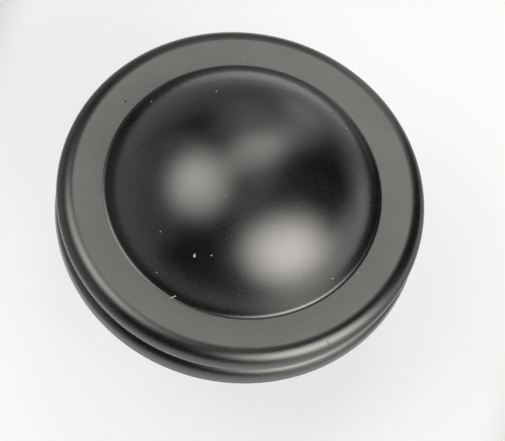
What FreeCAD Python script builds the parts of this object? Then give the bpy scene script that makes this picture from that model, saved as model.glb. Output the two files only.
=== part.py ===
"""Round cabinet knob with a domed middle, cast in one piece.

Lengths are in millimetres. +Z points out of the cabinet front along the knob's axis.
The origin is the centre of the flat base that seats on the cabinet front.
"""
import FreeCAD
import Part
import math
import os

# Head, as seen from in front of the cabinet
projection = 27.0             # base face to the top of the dome
rim_diameter = 35.0           # widest part of the knob
rim_bead_radius = 1.6         # full round that forms the rim
ring_level_width = 0.55       # level outer part of the ring, next to the bead
ring_hollow_radius = 39.0     # gentle hollow in which the rest of the ring climbs to the dome
dome_diameter = 26.04         # where the dome would meet the level of the ring
dome_rise = 8.7               # top of the dome above the level of the ring
dome_root_radius = 0.5        # fillet between the ring and the dome

# Groove and band under the rim
groove_depth = 1.2            # from the widest part of the rim in to the groove's floor
groove_gap = 0.1              # lowest point of the bead down to the top of the band
band_inset = 0.1              # the band stands this far inside the rim
band_round = 1.5              # rounding at the top of the band
band_wall_height = 0.7        # upright part of the band
band_edge_radius = 0.12       # crisp lower edge

# Underside, neck and base
underside_width = 3.6         # flat ring inside the band's lower edge
neck_diameter = 12.5
neck_length = 1.5             # straight part of the neck
base_diameter = 17.0
base_thickness = 2.0
base_step = 0.6               # from the base's edge in to the sweep up to the neck
base_edge_radius = 0.4

# Blind hole for an M4 mounting screw
thread_diameter = 4.0
thread_depth = 9.0
tap_drill_diameter = 3.3
tap_drill_depth = 12.0
drill_point_angle = 118.0
mouth_chamfer = 0.35

# Radii and heights that follow from the sizes above
rim_radius = rim_diameter / 2
bead_centre_radius = rim_radius - rim_bead_radius
ring_height = projection - dome_rise
bead_centre_height = ring_height - rim_bead_radius
groove_radius = rim_radius - groove_depth
dome_radius = dome_diameter / 2
band_radius = rim_radius - band_inset
band_round_centre_radius = band_radius - band_round
band_round_centre_height = bead_centre_height - rim_bead_radius - groove_gap - band_round
underside_height = band_round_centre_height - band_wall_height
neck_radius = neck_diameter / 2
base_radius = base_diameter / 2
base_sweep_radius = base_radius - base_step - neck_radius
neck_start_height = base_thickness + base_sweep_radius
neck_end_height = neck_start_height + neck_length


def point(radius, height):
    """Point of the knob's half section."""
    return FreeCAD.Vector(radius, 0, height)


def point_on_round(centre, radius, degrees):
    """Point on a round of the half section, at an angle up from straight outwards."""
    angle = math.radians(degrees)
    return centre + point(radius * math.cos(angle), radius * math.sin(angle))


def degrees_towards(start, end):
    """Direction from one point of the half section to another, as an angle up from straight outwards."""
    return math.degrees(math.atan2(end.z - start.z, end.x - start.x)) % 360


def crossing(first_centre, first_radius, second_centre, second_radius):
    """Where two circles cross, on the right of the way from the first centre to the second."""
    way = second_centre - first_centre
    distance = way.Length
    along = (distance**2 + first_radius**2 - second_radius**2) / (2 * distance)
    aside = math.sqrt(first_radius**2 - along**2)
    return first_centre + way * (along / distance) + point(way.z, -way.x) * (aside / distance)


def line(start, end):
    return Part.LineSegment(start, end).toShape()


def round_edge(centre, radius, start_degrees, end_degrees):
    start = point_on_round(centre, radius, start_degrees)
    middle = point_on_round(centre, radius, (start_degrees + end_degrees) / 2)
    end = point_on_round(centre, radius, end_degrees)
    return Part.Arc(start, middle, end).toShape()


def quarter_ellipse(start, corner, end):
    """Quarter of an ellipse that is tangent to both lines through the corner."""
    curve = Part.BezierCurve()
    curve.setPoles([start, corner, end])
    curve.setWeight(2, math.sqrt(0.5))
    return curve.toShape()


def revolve(edges):
    """Closed half section turned once about the knob's axis."""
    face = Part.Face(Part.Wire(edges))
    return face.revolve(FreeCAD.Vector(0, 0, 0), FreeCAD.Vector(0, 0, 1), 360)


def base_and_neck_edges():
    """From the centre of the base face, out and up to the flat under the head."""
    rounded_radius = base_radius - base_edge_radius
    lower_centre = point(rounded_radius, base_edge_radius)
    upper_centre = point(rounded_radius, base_thickness - base_edge_radius)
    sweep_centre = point(neck_radius + base_sweep_radius, neck_start_height)
    neck_start = point(neck_radius, neck_start_height)
    neck_end = point(neck_radius, neck_end_height)
    underside_inner = point(band_radius - underside_width, underside_height)
    return [
        line(point(0, 0), point(rounded_radius, 0)),
        round_edge(lower_centre, base_edge_radius, 270, 360),
        line(point(base_radius, base_edge_radius), point(base_radius, base_thickness - base_edge_radius)),
        round_edge(upper_centre, base_edge_radius, 0, 90),
        line(point(rounded_radius, base_thickness), point(neck_radius + base_sweep_radius, base_thickness)),
        round_edge(sweep_centre, base_sweep_radius, 270, 180),
        line(neck_start, neck_end),
        quarter_ellipse(neck_end, point(neck_radius, underside_height), underside_inner),
        line(underside_inner, point(band_radius - band_edge_radius, underside_height)),
    ]


def band_and_rim_edges():
    """Band, groove and rim bead, up to the outer edge of the ring."""
    lower_edge_height = underside_height + band_edge_radius
    lower_edge_centre = point(band_radius - band_edge_radius, lower_edge_height)
    band_centre = point(band_round_centre_radius, band_round_centre_height)
    band_end_degrees = math.degrees(math.acos((groove_radius - band_round_centre_radius) / band_round))
    groove_bottom = point_on_round(band_centre, band_round, band_end_degrees)
    bead_centre = point(bead_centre_radius, bead_centre_height)
    bead_start_degrees = -math.degrees(math.acos((groove_radius - bead_centre_radius) / rim_bead_radius))
    groove_top = point_on_round(bead_centre, rim_bead_radius, bead_start_degrees)
    return [
        round_edge(lower_edge_centre, band_edge_radius, 270, 360),
        line(point(band_radius, lower_edge_height), point(band_radius, band_round_centre_height)),
        round_edge(band_centre, band_round, 0, band_end_degrees),
        line(groove_bottom, groove_top),
        round_edge(bead_centre, rim_bead_radius, bead_start_degrees, 90),
    ]


def ring_and_dome_edges():
    """Ring, the fillet at the dome's root, and the dome up to its top."""
    dome_sphere_radius = (dome_radius**2 + dome_rise**2) / (2 * dome_rise)
    dome_centre = point(0, projection - dome_sphere_radius)
    hollow_start_radius = bead_centre_radius - ring_level_width
    hollow_centre = point(hollow_start_radius, ring_height + ring_hollow_radius)
    outside_dome = dome_sphere_radius + dome_root_radius
    inside_hollow = ring_hollow_radius - dome_root_radius
    root_centre = crossing(dome_centre, outside_dome, hollow_centre, inside_hollow)
    hollow_end_degrees = degrees_towards(hollow_centre, root_centre)
    dome_start_degrees = degrees_towards(dome_centre, root_centre)
    return [
        line(point(bead_centre_radius, ring_height), point(hollow_start_radius, ring_height)),
        round_edge(hollow_centre, ring_hollow_radius, 270, hollow_end_degrees),
        round_edge(root_centre, dome_root_radius, hollow_end_degrees, dome_start_degrees + 180),
        round_edge(dome_centre, dome_sphere_radius, dome_start_degrees, 90),
    ]


def make_screw_hole():
    """Threaded stretch, narrower drilled stretch and drill point."""
    thread_radius = thread_diameter / 2
    drill_radius = tap_drill_diameter / 2
    point_depth = drill_radius / math.tan(math.radians(drill_point_angle / 2))
    corners = [
        point(0, 0),
        point(thread_radius + mouth_chamfer, 0),
        point(thread_radius, mouth_chamfer),
        point(thread_radius, thread_depth),
        point(drill_radius, thread_depth),
        point(drill_radius, tap_drill_depth),
        point(0, tap_drill_depth + point_depth),
        point(0, 0),
    ]
    return revolve(Part.makePolygon(corners).Edges)


def make_knob():
    outline = base_and_neck_edges() + band_and_rim_edges() + ring_and_dome_edges()
    axis_edge = line(point(0, projection), point(0, 0))
    return revolve(outline + [axis_edge]).cut(make_screw_hole())


os.makedirs("parts", exist_ok=True)
make_knob().exportStep("parts/knob.step")
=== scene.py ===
"""Dresses a round cabinet knob in its satin black coat and stands it on a pale table.

Lengths are metres, and names that end in _mm hold millimetres. The knob stands on its base, with +Z
along its axis out of the cabinet front.
"""

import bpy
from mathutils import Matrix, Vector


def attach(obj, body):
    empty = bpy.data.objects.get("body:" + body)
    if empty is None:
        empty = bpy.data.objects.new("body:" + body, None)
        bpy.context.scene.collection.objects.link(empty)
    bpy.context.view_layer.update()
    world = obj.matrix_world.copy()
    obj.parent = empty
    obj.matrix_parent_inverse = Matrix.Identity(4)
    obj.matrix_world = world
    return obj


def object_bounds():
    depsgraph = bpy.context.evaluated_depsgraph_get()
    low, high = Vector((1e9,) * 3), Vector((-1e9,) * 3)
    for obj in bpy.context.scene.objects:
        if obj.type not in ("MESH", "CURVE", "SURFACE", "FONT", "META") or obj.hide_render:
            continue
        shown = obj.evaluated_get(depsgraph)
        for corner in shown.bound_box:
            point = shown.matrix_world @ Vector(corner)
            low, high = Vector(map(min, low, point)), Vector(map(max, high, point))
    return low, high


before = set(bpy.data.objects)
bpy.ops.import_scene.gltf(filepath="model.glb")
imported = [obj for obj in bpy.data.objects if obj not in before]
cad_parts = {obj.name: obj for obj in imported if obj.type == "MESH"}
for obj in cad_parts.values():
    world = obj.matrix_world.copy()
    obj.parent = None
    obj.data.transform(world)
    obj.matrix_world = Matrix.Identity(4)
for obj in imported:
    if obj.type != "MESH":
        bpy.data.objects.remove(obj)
cad_box = [list(corner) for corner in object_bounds()]

import math
import random
from collections import namedtuple

import bmesh
import bpy
from mathutils import Quaternion, Vector

bl_info = {
    "name": "Satin Black Cabinet Knob",
    "version": (1, 0, 0),
    "blender": (4, 5, 0),
    "location": "View3D > Sidebar > Cabinet Knob",
    "description": "Coats a cast cabinet knob, cuts its thread, settles dust on it and lights it on a table",
    "category": "Object",
}

MM = 0.001
UP = (0.0, 0.0, 1.0)
KNOB_NODE = "knob"
knob_top = cad_box[1][2]


# Settings that a user would change


class CoatSettings(bpy.types.PropertyGroup):
    """Satin coat on the casting."""

    color: bpy.props.FloatVectorProperty(
        name="Coat Color", description="Colour of the coat",
        subtype="COLOR", size=3, min=0.0, max=1.0, default=(0.0013, 0.0013, 0.0013),
    )
    worn_color: bpy.props.FloatVectorProperty(
        name="Coat Bloom", description="Colour of the coat where it is thinnest and a little dusty",
        subtype="COLOR", size=3, min=0.0, max=1.0, default=(0.0032, 0.0030, 0.0028),
    )
    roughness: bpy.props.FloatProperty(
        name="Roughness", description="Roughness of the coat at its smoothest",
        subtype="FACTOR", min=0.0, max=1.0, default=0.235,
    )
    roughness_spread: bpy.props.FloatProperty(
        name="Roughness Spread", description="How much rougher the coat is at its roughest",
        subtype="FACTOR", min=0.0, max=1.0, default=0.065,
    )
    ior: bpy.props.FloatProperty(
        name="Index of Refraction", description="Strength of the coat's gloss",
        min=1.0, max=3.0, default=2.02,
    )
    grain_size: bpy.props.FloatProperty(
        name="Grain Size", description="Width of one grain of the coat",
        subtype="DISTANCE", unit="LENGTH", min=0.00001, max=0.01, precision=5, default=0.16 * MM,
    )
    grain_height: bpy.props.FloatProperty(
        name="Grain Height", description="Height of the grain above the hollows between",
        subtype="DISTANCE", unit="LENGTH", min=0.0, max=0.001, precision=6, default=0.005 * MM,
    )


class ThreadSettings(bpy.types.PropertyGroup):
    """M4 thread in the screw hole, and the bare metal there."""

    metal_color: bpy.props.FloatVectorProperty(
        name="Zinc Color", description="Colour of the bare zinc alloy",
        subtype="COLOR", size=3, min=0.0, max=1.0, default=(0.60, 0.61, 0.63),
    )
    metal_roughness: bpy.props.FloatProperty(
        name="Zinc Roughness", description="Roughness of the cut zinc alloy",
        subtype="FACTOR", min=0.0, max=1.0, default=0.32,
    )
    major_diameter: bpy.props.FloatProperty(
        name="Major Diameter", description="Full diameter of the thread, at the wall of the hole",
        subtype="DISTANCE", unit="LENGTH", min=0.001, max=0.02, precision=5, default=4.0 * MM,
    )
    minor_diameter: bpy.props.FloatProperty(
        name="Minor Diameter", description="Diameter between the crests of the thread",
        subtype="DISTANCE", unit="LENGTH", min=0.001, max=0.02, precision=5, default=3.3 * MM,
    )
    pitch: bpy.props.FloatProperty(
        name="Pitch", description="Height that one turn climbs",
        subtype="DISTANCE", unit="LENGTH", min=0.0001, max=0.005, precision=5, default=0.7 * MM,
    )
    start: bpy.props.FloatProperty(
        name="Start", description="Height of the first turn's middle above the base face",
        subtype="DISTANCE", unit="LENGTH", min=0.0, max=0.02, precision=5, default=0.66 * MM,
    )
    end: bpy.props.FloatProperty(
        name="End", description="Height of the last turn's middle above the base face",
        subtype="DISTANCE", unit="LENGTH", min=0.0, max=0.02, precision=5, default=8.65 * MM,
    )


class DustSettings(bpy.types.PropertyGroup):
    """Loose specks and lint on the knob."""

    color: bpy.props.FloatVectorProperty(
        name="Dust Color", description="Colour of the pale specks and the lint",
        subtype="COLOR", size=3, min=0.0, max=1.0, default=(0.74, 0.73, 0.70),
    )
    grit_color: bpy.props.FloatVectorProperty(
        name="Grit Color", description="Colour of the dark specks",
        subtype="COLOR", size=3, min=0.0, max=1.0, default=(0.010, 0.009, 0.008),
    )
    scale: bpy.props.FloatProperty(
        name="Speck Scale", description="Size of all specks, 1 as found",
        subtype="FACTOR", min=0.1, max=5.0, default=1.0,
    )


class StageSettings(bpy.types.PropertyGroup):
    """Table, lamps and camera."""

    floor_radius: bpy.props.FloatProperty(
        name="Floor Radius", description="Radius of the flat part of the floor",
        subtype="DISTANCE", unit="LENGTH", min=0.1, max=10.0, default=1.3,
    )
    floor_color: bpy.props.FloatVectorProperty(
        name="Floor Color", description="Colour of the floor round the knob",
        subtype="COLOR", size=3, min=0.0, max=1.0, default=(0.905, 0.92, 0.94),
    )
    # Grey painted where the table lies dimmer, beyond the painted pools of light
    painted_dim_floor_color: bpy.props.FloatVectorProperty(
        name="Far Floor Color", description="Colour of the floor away from the knob",
        subtype="COLOR", size=3, min=0.0, max=1.0, default=(0.42, 0.42, 0.42),
    )
    # White glow painted into the floor within the painted pools of light, as if it were lit brighter
    floor_glow: bpy.props.FloatProperty(
        name="Floor Glow", description="Share of plain white in what is seen of the floor round the knob",
        subtype="FACTOR", min=0.0, max=1.0, default=0.6,
    )
    lamp_level: bpy.props.FloatProperty(
        name="Lamp Level", description="Brightness of all lamps, 1 as set up",
        subtype="FACTOR", min=0.0, max=10.0, default=1.0,
    )
    lamp_color: bpy.props.FloatVectorProperty(
        name="Lamp Color", description="Colour of all lamps",
        subtype="COLOR", size=3, min=0.0, max=1.0, default=(1.0, 0.965, 0.92),
    )
    room_level: bpy.props.FloatProperty(
        name="Room Level", description="Brightness of the room between the lamps",
        subtype="FACTOR", min=0.0, max=10.0, default=0.015,
    )
    camera_elevation: bpy.props.FloatProperty(
        name="Camera Elevation", description="Height of the camera above the table, as an angle at the knob",
        subtype="ANGLE", unit="ROTATION", min=0.0, max=math.pi / 2, default=math.radians(64.13),
    )
    camera_roll: bpy.props.FloatProperty(
        name="Camera Roll", description="Turn of the camera about its line of sight, anticlockwise",
        subtype="ANGLE", unit="ROTATION", min=-math.pi, max=math.pi, default=math.radians(13.8),
    )
    camera_distance: bpy.props.FloatProperty(
        name="Camera Distance", description="From the camera to the middle of the knob's rim",
        subtype="DISTANCE", unit="LENGTH", min=0.05, max=10.0, default=0.35,
    )
    focal_length: bpy.props.FloatProperty(
        name="Focal Length", description="Focal length of the lens, on a sensor 36 mm wide",
        subtype="DISTANCE_CAMERA", min=10.0, max=1000.0, default=263.8,
    )


# Shader nodes


def link(tree, source, target):
    tree.links.new(source, target)


def put(tree, value, socket):
    """Feeds a socket from another socket, or sets it to a plain value."""
    if isinstance(value, bpy.types.NodeSocket):
        tree.links.new(value, socket)
    else:
        socket.default_value = value


def math_node(tree, operation, *values):
    node = tree.nodes.new("ShaderNodeMath")
    node.operation = operation
    for value, socket in zip(values, node.inputs):
        put(tree, value, socket)
    return node.outputs["Value"]


def vector_math(tree, operation, *values):
    node = tree.nodes.new("ShaderNodeVectorMath")
    node.operation = operation
    for value, socket in zip(values, node.inputs):
        put(tree, value, socket)
    return node.outputs["Value" if operation in {"LENGTH", "DOT_PRODUCT"} else "Vector"]


def map_range(tree, value, from_min, from_max, to_min, to_max, smooth=False):
    node = tree.nodes.new("ShaderNodeMapRange")
    node.interpolation_type = "SMOOTHSTEP" if smooth else "LINEAR"
    for name, each in zip(
        ("Value", "From Min", "From Max", "To Min", "To Max"), (value, from_min, from_max, to_min, to_max)
    ):
        put(tree, each, node.inputs[name])
    return node.outputs["Result"]


def noise(tree, vector, size, detail=2.0, roughness=0.5, distortion=0.0):
    """Noise whose blobs are about as wide as size."""
    node = tree.nodes.new("ShaderNodeTexNoise")
    put(tree, vector, node.inputs["Vector"])
    if isinstance(size, bpy.types.NodeSocket):
        put(tree, math_node(tree, "DIVIDE", 1.0, size), node.inputs["Scale"])
    else:
        node.inputs["Scale"].default_value = 1.0 / size
    node.inputs["Detail"].default_value = detail
    node.inputs["Roughness"].default_value = roughness
    node.inputs["Distortion"].default_value = distortion
    return node.outputs["Fac"]


def mix_color(tree, factor, first, second):
    node = tree.nodes.new("ShaderNodeMix")
    node.data_type = "RGBA"
    put(tree, factor, node.inputs["Factor"])
    for name, value in (("A", first), ("B", second)):
        socket = next(s for s in node.inputs if s.name == name and s.type == "RGBA")
        put(tree, value if isinstance(value, bpy.types.NodeSocket) else (*value[:3], 1.0), socket)
    return next(s for s in node.outputs if s.type == "RGBA")


def mix_value(tree, factor, first, second):
    node = tree.nodes.new("ShaderNodeMix")
    put(tree, factor, node.inputs["Factor"])
    for name, value in (("A", first), ("B", second)):
        put(tree, value, next(s for s in node.inputs if s.name == name and s.type == "VALUE"))
    return next(s for s in node.outputs if s.type == "VALUE")


def mix_vector(tree, factor, first, second):
    node = tree.nodes.new("ShaderNodeMix")
    node.data_type = "VECTOR"
    put(tree, factor, node.inputs["Factor"])
    for name, value in (("A", first), ("B", second)):
        put(tree, value, next(s for s in node.inputs if s.name == name and s.type == "VECTOR"))
    return next(s for s in node.outputs if s.type == "VECTOR")


def world_normal(tree, vector):
    """Turns a direction of the object's own frame into a normal of the world."""
    node = tree.nodes.new("ShaderNodeVectorTransform")
    node.vector_type, node.convert_from, node.convert_to = "NORMAL", "OBJECT", "WORLD"
    put(tree, vector_math(tree, "NORMALIZE", vector), node.inputs["Vector"])
    return node.outputs["Vector"]


def bump(tree, height, distance, normal=None):
    node = tree.nodes.new("ShaderNodeBump")
    node.inputs["Distance"].default_value = distance
    put(tree, height, node.inputs["Height"])
    if normal is not None:
        put(tree, normal, node.inputs["Normal"])
    return node.outputs["Normal"]


def new_material(name):
    """Material with only a Principled BSDF, which is returned with its node tree."""
    material = bpy.data.materials.new(name)
    material.use_nodes = True
    return material, material.node_tree, material.node_tree.nodes["Principled BSDF"]


def object_place(tree):
    return tree.nodes.new("ShaderNodeTexCoord").outputs["Object"]


def surface_grain_group():
    """Fine grain of a cast, coated or cut surface, with slow blotches in it."""
    existing = bpy.data.node_groups.get("Surface Grain")
    if existing:
        return existing
    group = bpy.data.node_groups.new("Surface Grain", "ShaderNodeTree")
    sockets = group.interface
    sockets.new_socket("Vector", in_out="INPUT", socket_type="NodeSocketVector")
    for name, default in (("Grain Size", 0.15 * MM), ("Blotch Size", 4.0 * MM)):
        sockets.new_socket(name, in_out="INPUT", socket_type="NodeSocketFloat").default_value = default
    for name in ("Height", "Grain", "Blotches"):
        sockets.new_socket(name, in_out="OUTPUT", socket_type="NodeSocketFloat")
    inputs = group.nodes.new("NodeGroupInput").outputs
    outputs = group.nodes.new("NodeGroupOutput").inputs
    fine = noise(group, inputs["Vector"], inputs["Grain Size"], detail=1.0, roughness=0.6)
    coarse_size = math_node(group, "MULTIPLY", inputs["Grain Size"], 3.7)
    coarse = noise(group, inputs["Vector"], coarse_size, detail=1.0)
    blotches = noise(group, inputs["Vector"], inputs["Blotch Size"], detail=3.0, distortion=0.4)
    link(group, mix_value(group, 0.3, fine, coarse), outputs["Height"])
    link(group, map_range(group, fine, 0.35, 0.65, 0.0, 1.0), outputs["Grain"])
    link(group, map_range(group, blotches, 0.32, 0.68, 0.0, 1.0, smooth=True), outputs["Blotches"])
    return group


def surface_grain(tree, vector, grain_size, blotch_size):
    node = tree.nodes.new("ShaderNodeGroup")
    node.node_tree = surface_grain_group()
    put(tree, vector, node.inputs["Vector"])
    node.inputs["Grain Size"].default_value = grain_size
    node.inputs["Blotch Size"].default_value = blotch_size
    return node.outputs


# Coat


COAT_BLOTCH_SIZE = 5.0 * MM
HOLE_COAT_EDGE = 2.28 * MM    # the coat ends at about this radius, on the chamfer of the hole
HOLE_COAT_RAGGEDNESS = 0.16 * MM
HOLE_TOP = 14.0 * MM          # above the drill point

# Short nick across the rim's bead
NICK_PLACE = (10.97 * MM, -13.03 * MM, 17.8 * MM)
NICK_ALONG = (0.64, -0.77, 0.0)   # straight outwards from the knob's axis
NICK_ACROSS = (0.77, 0.64, 0.0)
NICK_HALF_LENGTH = 0.24 * MM
NICK_HALF_WIDTH = 0.07 * MM
NICK_HALF_HEIGHT = 0.6 * MM
NICK_DEPTH = 0.02 * MM

# Rounds of the casting, each swept about the knob's axis: the middle of its arc, and the radii and
# heights between which it lies. A hollow round faces the middle of its arc.
Round = namedtuple("Round", "centre_radius_mm centre_height_mm radii_mm heights_mm hollow")
ROUNDS = (
    Round(13.326, 18.853, (12.87, 13.30), (18.0, 20.0), True),      # foot of the dome
    Round(15.9, 16.7, (15.9, 18.0), (15.15, 19.0), False),          # bead of the rim
    Round(15.9, 13.5, (16.2, 18.0), (13.5, 14.945), False),         # top of the band
)


def between(tree, value, limits_mm):
    """One between the limits, nothing outside them."""
    low, high = (limit * MM for limit in limits_mm)
    return math_node(
        tree, "MULTIPLY",
        math_node(tree, "GREATER_THAN", value, low), math_node(tree, "LESS_THAN", value, high),
    )


def true_normal(tree, place):
    """Normal of the knob, with the true curve of its small rounds, where the mesh has only a few facets."""
    flat = vector_math(tree, "MULTIPLY", place, (1.0, 1.0, 0.0))
    radius = vector_math(tree, "LENGTH", flat)
    height = vector_math(tree, "DOT_PRODUCT", place, UP)
    outwards = vector_math(tree, "NORMALIZE", flat)
    normal = tree.nodes.new("ShaderNodeNewGeometry").outputs["Normal"]
    for each in ROUNDS:
        level_part = vector_math(tree, "MULTIPLY", outwards, (each.centre_radius_mm * MM,) * 3)
        centre = vector_math(tree, "ADD", level_part, (0.0, 0.0, each.centre_height_mm * MM))
        ends = (centre, place) if each.hollow else (place, centre)
        round_normal = world_normal(tree, vector_math(tree, "SUBTRACT", *ends))
        on_round = math_node(
            tree, "MULTIPLY", between(tree, radius, each.radii_mm), between(tree, height, each.heights_mm)
        )
        normal = mix_vector(tree, on_round, normal, round_normal)
    return normal


def bare_hole_mask(tree, place):
    """One inside the screw hole, where the drill and tap took the coat away, with a ragged edge."""
    parts = tree.nodes.new("ShaderNodeSeparateXYZ")
    put(tree, place, parts.inputs["Vector"])
    square = [math_node(tree, "POWER", parts.outputs[axis], 2.0) for axis in "XY"]
    radius = math_node(tree, "SQRT", math_node(tree, "ADD", *square))
    ragged = map_range(tree, noise(tree, place, 0.5 * MM, detail=3.0), 0.3, 0.7,
                       -HOLE_COAT_RAGGEDNESS, HOLE_COAT_RAGGEDNESS)
    edge = math_node(tree, "ADD", radius, ragged)
    near_axis = math_node(tree, "LESS_THAN", edge, HOLE_COAT_EDGE)
    below_top = math_node(tree, "LESS_THAN", parts.outputs["Z"], HOLE_TOP)
    return math_node(tree, "MULTIPLY", near_axis, below_top)


def nick_mask(tree, place):
    """One in the nick on the rim, fading to nothing at its edges."""
    away = vector_math(tree, "SUBTRACT", place, NICK_PLACE)
    shares = [
        math_node(tree, "DIVIDE", vector_math(tree, "DOT_PRODUCT", away, way), half)
        for way, half in (
            (NICK_ALONG, NICK_HALF_LENGTH), (NICK_ACROSS, NICK_HALF_WIDTH), (UP, NICK_HALF_HEIGHT),
        )
    ]
    squares = [math_node(tree, "MULTIPLY", share, share) for share in shares]
    total = math_node(tree, "ADD", math_node(tree, "ADD", squares[0], squares[1]), squares[2])
    return map_range(tree, total, 0.2, 1.0, 1.0, 0.0, smooth=True)


def satin_black_material(coat, thread):
    """Black satin coat with fine grain, and bare zinc inside the screw hole."""
    material, tree, shader = new_material("Satin Black Coat")
    place = object_place(tree)
    grain = surface_grain(tree, place, coat.grain_size, COAT_BLOTCH_SIZE)
    bare = bare_hole_mask(tree, place)
    speckle = map_range(tree, grain["Grain"], 0.0, 1.0, 0.35, 1.0)
    bloom = math_node(tree, "MULTIPLY", grain["Blotches"], speckle)
    coated = mix_color(tree, bloom, coat.color, coat.worn_color)
    link(tree, mix_color(tree, bare, coated, thread.metal_color), shader.inputs["Base Color"])
    uneven = mix_value(tree, 0.45, grain["Blotches"], grain["Grain"])
    coat_roughness = map_range(tree, uneven, 0.0, 1.0, coat.roughness, coat.roughness + coat.roughness_spread)
    link(tree, mix_value(tree, bare, coat_roughness, thread.metal_roughness), shader.inputs["Roughness"])
    link(tree, bare, shader.inputs["Metallic"])
    shader.inputs["IOR"].default_value = coat.ior
    dented = math_node(tree, "SUBTRACT", 1.0, nick_mask(tree, place))
    nicked = bump(tree, dented, NICK_DEPTH, true_normal(tree, place))
    link(tree, bump(tree, grain["Height"], coat.grain_height, nicked), shader.inputs["Normal"])
    return material


class CABINET_KNOB_OT_coat(bpy.types.Operator):
    """Give the casting its satin black coat, with bare zinc inside the screw hole"""

    bl_idname = "cabinet_knob.coat"
    bl_label = "Coat Knob"
    bl_options = {"REGISTER", "UNDO"}

    def execute(self, context):
        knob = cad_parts[KNOB_NODE]
        knob.data.materials.clear()
        knob.data.materials.append(satin_black_material(context.scene.knob_coat, context.scene.knob_thread))
        return {"FINISHED"}


# Thread


THREAD_STEPS_PER_TURN = 60
THREAD_FADE_TURNS = 0.6       # the ridge grows out of the wall over this much of a turn
THREAD_ROOT = 0.03 * MM       # how far the ridge reaches into the wall
THREAD_CREST_SHARE = 0.26     # width of the crest as a share of the pitch
FLANK_ANGLE = math.radians(30)


def ridge_section(wall, depth, crest_width):
    """Outline of the ridge as (radius, height from its middle), from its lower root to its upper root."""
    root_width = crest_width + 2 * (depth + THREAD_ROOT) * math.tan(FLANK_ANGLE)
    corner = 0.2 * crest_width
    crest = wall - depth
    lower = [
        (wall + THREAD_ROOT, -root_width / 2),
        (crest + corner, -crest_width / 2 - corner * math.tan(FLANK_ANGLE)),
        (crest, -crest_width / 2 + corner),
    ]
    return lower + [(radius, -height) for radius, height in reversed(lower)]


def thread_mesh(thread):
    """Ridge that winds up the wall of the hole as a right-hand thread, closed at both ends."""
    wall = thread.major_diameter / 2
    full_depth = wall - thread.minor_diameter / 2
    turns = (thread.end - thread.start) / thread.pitch
    steps = round(turns * THREAD_STEPS_PER_TURN)
    mesh = bmesh.new()
    rings = []
    for step in range(steps + 1):
        turn = turns * step / steps
        angle = 2 * math.pi * turn
        middle = thread.start + thread.pitch * turn
        grown = min(1.0, min(turn, turns - turn) / THREAD_FADE_TURNS)
        depth = full_depth * max(0.03, grown * grown * (3 - 2 * grown))
        section = ridge_section(wall, depth, THREAD_CREST_SHARE * thread.pitch)
        rings.append([
            mesh.verts.new((radius * math.cos(angle), radius * math.sin(angle), middle + height))
            for radius, height in section
        ])
    for lower, upper in zip(rings, rings[1:]):
        for i in range(len(lower)):
            mesh.faces.new((lower[i - 1], lower[i], upper[i], upper[i - 1]))
    mesh.faces.new(rings[0])
    mesh.faces.new(reversed(rings[-1]))
    bmesh.ops.recalc_face_normals(mesh, faces=mesh.faces)
    data = bpy.data.meshes.new("screw_thread")
    mesh.to_mesh(data)
    mesh.free()
    return data


def bare_zinc_material(thread):
    """Cut zinc alloy, with fine rings left by the tap."""
    material, tree, shader = new_material("Cut Zinc")
    place = object_place(tree)
    grain = surface_grain(tree, place, 0.05 * MM, 1.2 * MM)
    stretched = vector_math(tree, "MULTIPLY", place, (1.0, 1.0, 14.0))
    rings = noise(tree, stretched, 0.5 * MM, detail=2.0)
    dull = tuple(0.72 * channel for channel in thread.metal_color)
    link(tree, mix_color(tree, grain["Blotches"], thread.metal_color, dull), shader.inputs["Base Color"])
    roughness = map_range(tree, rings, 0.3, 0.7, thread.metal_roughness - 0.06, thread.metal_roughness + 0.12)
    link(tree, roughness, shader.inputs["Roughness"])
    shader.inputs["Metallic"].default_value = 1.0
    grooves = bump(tree, rings, 0.006 * MM)
    link(tree, bump(tree, grain["Height"], 0.001 * MM, grooves), shader.inputs["Normal"])
    return material


def add_piece(name, data, materials):
    """Piece that rides on the knob."""
    piece = bpy.data.objects.new(name, data)
    bpy.context.scene.collection.objects.link(piece)
    for material in materials:
        data.materials.append(material)
    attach(piece, "root")
    return piece


class CABINET_KNOB_OT_thread(bpy.types.Operator):
    """Cut the screw thread into the wall of the hole in the base"""

    bl_idname = "cabinet_knob.thread"
    bl_label = "Cut Thread"
    bl_options = {"REGISTER", "UNDO"}

    def execute(self, context):
        thread = context.scene.knob_thread
        add_piece("screw_thread", thread_mesh(thread), [bare_zinc_material(thread)])
        return {"FINISHED"}


# Dust


# A speck lies at a radius and azimuth on the knob's upper side, azimuth from +X towards +Y
Speck = namedtuple("Speck", "radius_mm azimuth_degrees length_mm width_mm turn_degrees dark")
SPECKS = (
    Speck(10.15, 253.2, 0.42, 0.24, 95, False),
    Speck(11.81, 150.6, 0.21, 0.17, 20, False),
    Speck(7.74, 125.5, 0.20, 0.17, 60, False),
    Speck(10.80, 40.8, 0.22, 0.17, 40, False),
    Speck(9.65, 261.6, 0.15, 0.14, 0, False),
    Speck(12.41, 241.0, 0.19, 0.15, 10, False),
    Speck(12.41, 323.8, 0.19, 0.15, 70, False),
    Speck(4.90, 253.1, 0.12, 0.10, 0, False),
    Speck(13.56, 335.4, 0.15, 0.12, 30, False),
    Speck(14.12, 101.6, 0.14, 0.11, 50, False),
    Speck(10.34, 231.0, 0.13, 0.10, 0, False),
    Speck(14.24, 153.6, 0.21, 0.16, 30, True),
)
SPECK_THICKNESS = 0.35        # as a share of its width
SPECK_SEED = 7

# Lint that leans on the foot of the dome: its middle line, and how far that stands above the knob
Lint = namedtuple("Lint", "radius_mm azimuth_degrees lift_mm")
LINT = (
    Lint(13.34, 251.0, 0.04),
    Lint(13.20, 251.7, 0.10),
    Lint(13.04, 252.2, 0.12),
    Lint(12.93, 252.6, 0.10),
    Lint(12.90, 253.1, 0.05),
)
LINT_WIDTH = 0.10 * MM
LINT_SIDES = 8


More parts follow.
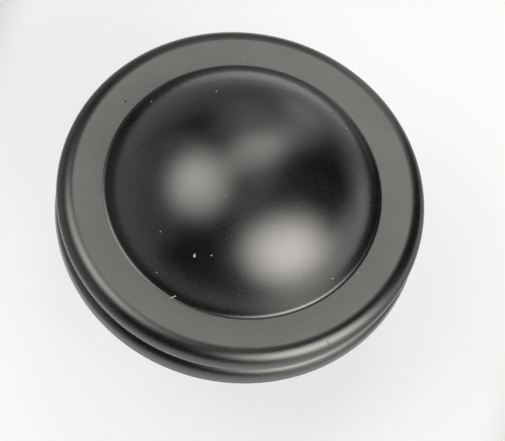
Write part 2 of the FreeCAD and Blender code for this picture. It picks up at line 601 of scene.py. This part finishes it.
def knob_surface_below(x, y):
    """Point and normal of the knob's upper side at a place seen from above."""
    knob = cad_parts[KNOB_NODE]
    hit, point, normal, _ = knob.ray_cast(Vector((x, y, knob_top + 10 * MM)), Vector((0, 0, -1)))
    if not hit:
        raise RuntimeError("a speck lies beside the knob")
    return point, normal


def add_speck(mesh, speck, scale, chance):
    """Small flattened crumb that lies on the knob."""
    azimuth = math.radians(speck.azimuth_degrees)
    radius = speck.radius_mm * MM
    point, normal = knob_surface_below(radius * math.cos(azimuth), radius * math.sin(azimuth))
    turn = normal.to_track_quat("Z", "Y") @ Quaternion((0, 0, 1), math.radians(speck.turn_degrees))
    thickness = SPECK_THICKNESS * speck.width_mm
    half = Vector((speck.length_mm, speck.width_mm, thickness)) * (scale * MM / 2)
    made = bmesh.ops.create_icosphere(mesh, subdivisions=2, radius=1.0)["verts"]
    for vertex in made:
        rough = chance.uniform(0.72, 1.12)
        flattened = Vector(a * b * rough for a, b in zip(vertex.co, half))
        flattened.z += 0.6 * half.z
        vertex.co = point + turn @ flattened
    for face in {face for vertex in made for face in vertex.link_faces}:
        face.material_index = int(speck.dark)


def add_lint(mesh, scale):
    """Short thread of lint, closed at both ends."""
    line = []
    for place in LINT:
        azimuth = math.radians(place.azimuth_degrees)
        radius = place.radius_mm * MM
        point, _ = knob_surface_below(radius * math.cos(azimuth), radius * math.sin(azimuth))
        line.append(point + Vector((0, 0, place.lift_mm * MM)))
    rings = []
    for i, point in enumerate(line):
        along = line[min(i + 1, len(line) - 1)] - line[max(i - 1, 0)]
        across = along.to_track_quat("Z", "Y")
        half = LINT_WIDTH * scale / 2 * (0.6 if point in (line[0], line[-1]) else 1.0)
        rings.append([
            mesh.verts.new(point + across @ Vector((half * math.cos(turn), half * math.sin(turn), 0)))
            for turn in (2 * math.pi * side / LINT_SIDES for side in range(LINT_SIDES))
        ])
    for near, far in zip(rings, rings[1:]):
        for side in range(LINT_SIDES):
            mesh.faces.new((near[side - 1], near[side], far[side], far[side - 1]))
    mesh.faces.new(reversed(rings[0]))
    mesh.faces.new(rings[-1])


def dust_mesh(dust):
    mesh = bmesh.new()
    chance = random.Random(SPECK_SEED)
    for speck in SPECKS:
        add_speck(mesh, speck, dust.scale, chance)
    add_lint(mesh, dust.scale)
    bmesh.ops.recalc_face_normals(mesh, faces=mesh.faces)
    data = bpy.data.meshes.new("dust_specks")
    mesh.to_mesh(data)
    mesh.free()
    return data


def dust_material(name, color):
    """Dry crumbly dust."""
    material, tree, shader = new_material(name)
    grain = surface_grain(tree, object_place(tree), 0.03 * MM, 0.2 * MM)
    shade = tuple(0.6 * channel for channel in color)
    link(tree, mix_color(tree, grain["Blotches"], color, shade), shader.inputs["Base Color"])
    link(tree, map_range(tree, grain["Grain"], 0.0, 1.0, 0.8, 1.0), shader.inputs["Roughness"])
    link(tree, bump(tree, grain["Height"], 0.004 * MM), shader.inputs["Normal"])
    return material


class CABINET_KNOB_OT_dust(bpy.types.Operator):
    """Settle a few specks of dust on the knob"""

    bl_idname = "cabinet_knob.dust"
    bl_label = "Settle Dust"
    bl_options = {"REGISTER", "UNDO"}

    def execute(self, context):
        dust = context.scene.knob_dust
        materials = [dust_material("Pale Dust", dust.color), dust_material("Dark Grit", dust.grit_color)]
        add_piece("dust_specks", dust_mesh(dust), materials)
        return {"FINISHED"}


# Stage


FLOOR_GAP = 0.01 * MM         # the floor lies this far under the base face
FLOOR_SEGMENTS = 160
FLOOR_OPENING_RADIUS = 8.0 * MM   # hidden by the base, and lights the base face for views from below
FLOOR_ROUGHNESS = (0.28, 0.34)
FLOOR_GRAIN_SIZE = 0.4 * MM
FLOOR_GRAIN_HEIGHT = 0.005 * MM
FLOOR_BLOTCH_SIZE = 60.0 * MM
COVE_HEIGHT = 0.13
COVE_STEPS = 12
AIM_HEIGHT = 16.7 * MM        # middle of the rim's bead
SENSOR_WIDTH_MM = 36.0
IMAGE_WIDTH = 505
IMAGE_HEIGHT = 441
AIM_COLUMN = 241.1            # where the aimed point lies in the image
AIM_ROW = 197.8
CLIP_DISTANCES = (0.01, 10.0)
LAMP_DISTANCE = 0.9
HORIZON = (-0.03, -0.01)      # the room ends here, as the height of a direction of length one

# A lamp is an ellipse that faces the knob. Its tilt is from straight up, its azimuth from +X towards
# +Y, its half width and half height are angles at the knob, and its core is at full brightness.
Lamp = namedtuple("Lamp", "name tilt azimuth half_width half_height turn brightness core")
LAMPS = (
    Lamp("Left Lamp", 34.5, 189, 35.5, 32.5, 31, 3.5, 0.0),
    Lamp("Right Lamp", 62, 321, 45, 36, -37, 5.5, 0.0),
    Lamp("Overhead Lamp", 25, 87, 31, 19, 48, 1.67, 0.3),
    Lamp("Zenith Card", 10.2, 347.5, 36.4, 12.3, -13, 0.33, 0.3),
    Lamp("Far Lamp", 48.5, 90.5, 37, 32.8, -45.5, 0.56, 0.13),
    Lamp("Far Window", 50, 68, 14, 20, 0, 0.57, 0.2),
    Lamp("Far Strip", 84, 70.6, 18, 43.9, 23.6, 0.95, 0.0),
    Lamp("Far Card", 80, 115, 45, 18, -8, 0.22, 0.4),
    Lamp("Left Card", 68, 184, 45, 35.9, -27.5, 0.25, 0.68),
    Lamp("Right Strip", 92, 0, 36, 18, -20, 1.25, 0.0),
)

# A painted pool of light is an ellipse where the floor is painted white, as if brightly lit, and it fades
# over a share of its radii
PaintedLightPool = namedtuple("PaintedLightPool", "x_mm y_mm half_width_mm half_length_mm turn_degrees fade")
PAINTED_LIGHT_POOLS = (
    PaintedLightPool(1.0, 2.5, 26, 74, 0, 0.35),
    PaintedLightPool(160, 13.5, 78, 46, -7.5, 0.6),
)


def painted_light_pool_mask(tree, place, pool):
    """One on the painted pool of light, nothing away from it."""
    turn = math.radians(pool.turn_degrees)
    centred = vector_math(tree, "SUBTRACT", place, (pool.x_mm * MM, pool.y_mm * MM, 0.0))
    across = Vector((math.cos(turn), math.sin(turn), 0.0)) / (pool.half_width_mm * MM)
    along = Vector((-math.sin(turn), math.cos(turn), 0.0)) / (pool.half_length_mm * MM)
    shares = [vector_math(tree, "DOT_PRODUCT", centred, way) for way in (across, along)]
    squares = [math_node(tree, "MULTIPLY", share, share) for share in shares]
    share = math_node(tree, "SQRT", math_node(tree, "ADD", *squares))
    return map_range(tree, share, 1.0, 1.0 + pool.fade, 1.0, 0.0, smooth=True)


def white_table_material(stage):
    """White in painted pools of light near the knob and painted dim grey further off, with soft shadows, and
    not to be seen from below.
    """
    material, tree, shader = new_material("White Table")
    place = object_place(tree)
    grain = surface_grain(tree, place, FLOOR_GRAIN_SIZE, FLOOR_BLOTCH_SIZE)
    # near is one on the painted pools of light, where the floor is painted white as if brightly lit, and
    # nothing where it is painted dim grey
    near = math_node(tree, "MAXIMUM", *(painted_light_pool_mask(tree, place, pool) for pool in PAINTED_LIGHT_POOLS))
    shade = tuple(0.97 * channel for channel in stage.floor_color)
    mottled = mix_color(tree, grain["Blotches"], stage.floor_color, shade)
    link(tree, mix_color(tree, near, stage.painted_dim_floor_color, mottled), shader.inputs["Base Color"])
    link(tree, map_range(tree, grain["Grain"], 0.0, 1.0, *FLOOR_ROUGHNESS), shader.inputs["Roughness"])
    link(tree, bump(tree, grain["Height"], FLOOR_GRAIN_HEIGHT), shader.inputs["Normal"])
    # Within the painted pools of light, camera, glossy and transmission rays see a share of painted white
    # glow
    rays = tree.nodes.new("ShaderNodeLightPath").outputs
    seen = math_node(tree, "MAXIMUM", rays["Is Camera Ray"], rays["Is Glossy Ray"])
    seen = math_node(tree, "MAXIMUM", seen, rays["Is Transmission Ray"])
    white = tree.nodes.new("ShaderNodeEmission")
    white.inputs["Strength"].default_value = 1.0
    lit = tree.nodes.new("ShaderNodeMixShader")
    share = math_node(tree, "MULTIPLY", near, stage.floor_glow)
    link(tree, math_node(tree, "MULTIPLY", seen, share), lit.inputs["Fac"])
    link(tree, shader.outputs["BSDF"], lit.inputs[1])
    link(tree, white.outputs["Emission"], lit.inputs[2])
    clear = tree.nodes.new("ShaderNodeBsdfTransparent")
    sided = tree.nodes.new("ShaderNodeMixShader")
    link(tree, tree.nodes.new("ShaderNodeNewGeometry").outputs["Backfacing"], sided.inputs["Fac"])
    link(tree, lit.outputs["Shader"], sided.inputs[1])
    link(tree, clear.outputs["BSDF"], sided.inputs[2])
    link(tree, sided.outputs["Shader"], tree.nodes["Material Output"].inputs["Surface"])
    return material


def floor_mesh(stage):
    """Round floor that is open under the base, and whose edge curves up into a low cove."""
    outline = [(FLOOR_OPENING_RADIUS, -FLOOR_GAP), (stage.floor_radius, -FLOOR_GAP)]
    for step in range(1, COVE_STEPS + 1):
        angle = math.pi / 2 * step / COVE_STEPS
        outline.append((
            stage.floor_radius + COVE_HEIGHT * math.sin(angle),
            -FLOOR_GAP + COVE_HEIGHT * (1 - math.cos(angle)),
        ))
    mesh = bmesh.new()
    rings = []
    for radius, height in outline:
        rings.append([
            mesh.verts.new((radius * math.cos(turn), radius * math.sin(turn), height))
            for turn in (2 * math.pi * i / FLOOR_SEGMENTS for i in range(FLOOR_SEGMENTS))
        ])
    for inner, outer in zip(rings, rings[1:]):
        for i in range(FLOOR_SEGMENTS):
            mesh.faces.new((inner[i - 1], outer[i - 1], outer[i], inner[i])).smooth = True
    data = bpy.data.meshes.new("table")
    mesh.to_mesh(data)
    mesh.free()
    return data


def add_floor(stage):
    data = floor_mesh(stage)
    data.materials.append(white_table_material(stage))
    floor = bpy.data.objects.new("table", data)
    bpy.context.scene.collection.objects.link(floor)


def direction(tilt_degrees, azimuth_degrees):
    tilt, azimuth = math.radians(tilt_degrees), math.radians(azimuth_degrees)
    return Vector((math.sin(tilt) * math.cos(azimuth), math.sin(tilt) * math.sin(azimuth), math.cos(tilt)))


def soften_lamp(light, core):
    """Fades the lamp from its core to nothing at its edge."""
    light.use_nodes = True
    tree = light.node_tree
    across = tree.nodes.new("ShaderNodeNewGeometry").outputs["Parametric"]
    centred = vector_math(tree, "SUBTRACT", across, (0.5, 0.5, 0.0))
    share = math_node(tree, "MULTIPLY", vector_math(tree, "LENGTH", centred), 2.0)
    fade = map_range(tree, share, core, 1.0, 1.0, 0.0, smooth=True)
    link(tree, fade, tree.nodes["Emission"].inputs["Strength"])


def add_lamp(lamp, stage):
    light = bpy.data.lights.new(lamp.name, "AREA")
    light.shape = "ELLIPSE"
    light.size = 2 * LAMP_DISTANCE * math.tan(math.radians(lamp.half_width))
    light.size_y = 2 * LAMP_DISTANCE * math.tan(math.radians(lamp.half_height))
    light.color = stage.lamp_color
    area = math.pi / 4 * light.size * light.size_y
    light.energy = lamp.brightness * stage.lamp_level * math.pi * area
    soften_lamp(light, lamp.core)
    holder = bpy.data.objects.new(lamp.name, light)
    bpy.context.scene.collection.objects.link(holder)
    holder.visible_camera = False
    towards = direction(lamp.tilt, lamp.azimuth)
    holder.location = Vector((0, 0, AIM_HEIGHT)) + towards * LAMP_DISTANCE
    holder.rotation_mode = "QUATERNION"
    turn = Quaternion((0, 0, 1), math.radians(lamp.turn))
    holder.rotation_quaternion = (-towards).to_track_quat("-Z", "Y") @ turn


def add_room(stage):
    """Dim room above the table, and plain white below it for views of the underside."""
    world = bpy.data.worlds.new("Room")
    world.use_nodes = True
    bpy.context.scene.world = world
    tree = world.node_tree
    parts = tree.nodes.new("ShaderNodeSeparateXYZ")
    put(tree, tree.nodes.new("ShaderNodeTexCoord").outputs["Generated"], parts.inputs["Vector"])
    level = map_range(tree, parts.outputs["Z"], *HORIZON, 1.0, stage.room_level)
    link(tree, level, tree.nodes["Background"].inputs["Strength"])
    tree.nodes["Background"].inputs["Color"].default_value = (1.0, 1.0, 1.0, 1.0)


def add_camera(stage):
    """Camera at the photographed angle, aimed so that the rim's middle falls in its place in the image."""
    data = bpy.data.cameras.new("Camera")
    data.sensor_width = SENSOR_WIDTH_MM
    data.lens = stage.focal_length
    data.clip_start, data.clip_end = CLIP_DISTANCES
    camera = bpy.data.objects.new("Camera", data)
    bpy.context.scene.collection.objects.link(camera)
    back = Vector((0, -math.cos(stage.camera_elevation), math.sin(stage.camera_elevation)))
    roll = Quaternion((0, 0, 1), stage.camera_roll)
    aim = Vector((0, 0, AIM_HEIGHT))
    level_view = (-back).to_track_quat("-Z", "Y") @ roll
    pixel = stage.camera_distance * SENSOR_WIDTH_MM / stage.focal_length / IMAGE_WIDTH
    right = level_view @ Vector(((IMAGE_WIDTH / 2 - AIM_COLUMN) * pixel, 0, 0))
    down = level_view @ Vector((0, -(IMAGE_HEIGHT / 2 - AIM_ROW) * pixel, 0))
    camera.location = aim + back * stage.camera_distance
    camera.rotation_mode = "QUATERNION"
    camera.rotation_quaternion = (aim + right + down - camera.location).to_track_quat("-Z", "Y") @ roll
    bpy.context.scene.camera = camera


class CABINET_KNOB_OT_stage(bpy.types.Operator):
    """Set up the table, the lamps, the room and the camera"""

    bl_idname = "cabinet_knob.stage"
    bl_label = "Set Up Stage"
    bl_options = {"REGISTER", "UNDO"}

    def execute(self, context):
        stage = context.scene.knob_stage
        context.scene.view_settings.view_transform = "Standard"
        add_floor(stage)
        for lamp in LAMPS:
            add_lamp(lamp, stage)
        add_room(stage)
        add_camera(stage)
        return {"FINISHED"}


class CABINET_KNOB_PT_panel(bpy.types.Panel):
    """Steps and settings of the cabinet knob"""

    bl_idname = "CABINET_KNOB_PT_panel"
    bl_label = "Cabinet Knob"
    bl_space_type = "VIEW_3D"
    bl_region_type = "UI"
    bl_category = "Cabinet Knob"

    def draw(self, context):
        for operator, settings in (
            (CABINET_KNOB_OT_coat, context.scene.knob_coat),
            (CABINET_KNOB_OT_thread, context.scene.knob_thread),
            (CABINET_KNOB_OT_dust, context.scene.knob_dust),
            (CABINET_KNOB_OT_stage, context.scene.knob_stage),
        ):
            box = self.layout.box()
            box.operator(operator.bl_idname)
            for name in settings.__annotations__:
                box.prop(settings, name)


SETTINGS = {
    "knob_coat": CoatSettings,
    "knob_thread": ThreadSettings,
    "knob_dust": DustSettings,
    "knob_stage": StageSettings,
}
CLASSES = (
    *SETTINGS.values(),
    CABINET_KNOB_OT_coat,
    CABINET_KNOB_OT_thread,
    CABINET_KNOB_OT_dust,
    CABINET_KNOB_OT_stage,
    CABINET_KNOB_PT_panel,
)


def register():
    for each in CLASSES:
        bpy.utils.register_class(each)
    for name, group in SETTINGS.items():
        setattr(bpy.types.Scene, name, bpy.props.PointerProperty(type=group))


def unregister():
    for name in SETTINGS:
        delattr(bpy.types.Scene, name)
    for each in reversed(CLASSES):
        bpy.utils.unregister_class(each)


def main():
    register()
    bpy.ops.cabinet_knob.coat()
    bpy.ops.cabinet_knob.thread()
    bpy.ops.cabinet_knob.dust()
    bpy.ops.cabinet_knob.stage()


if __name__ == "__main__":
    main()
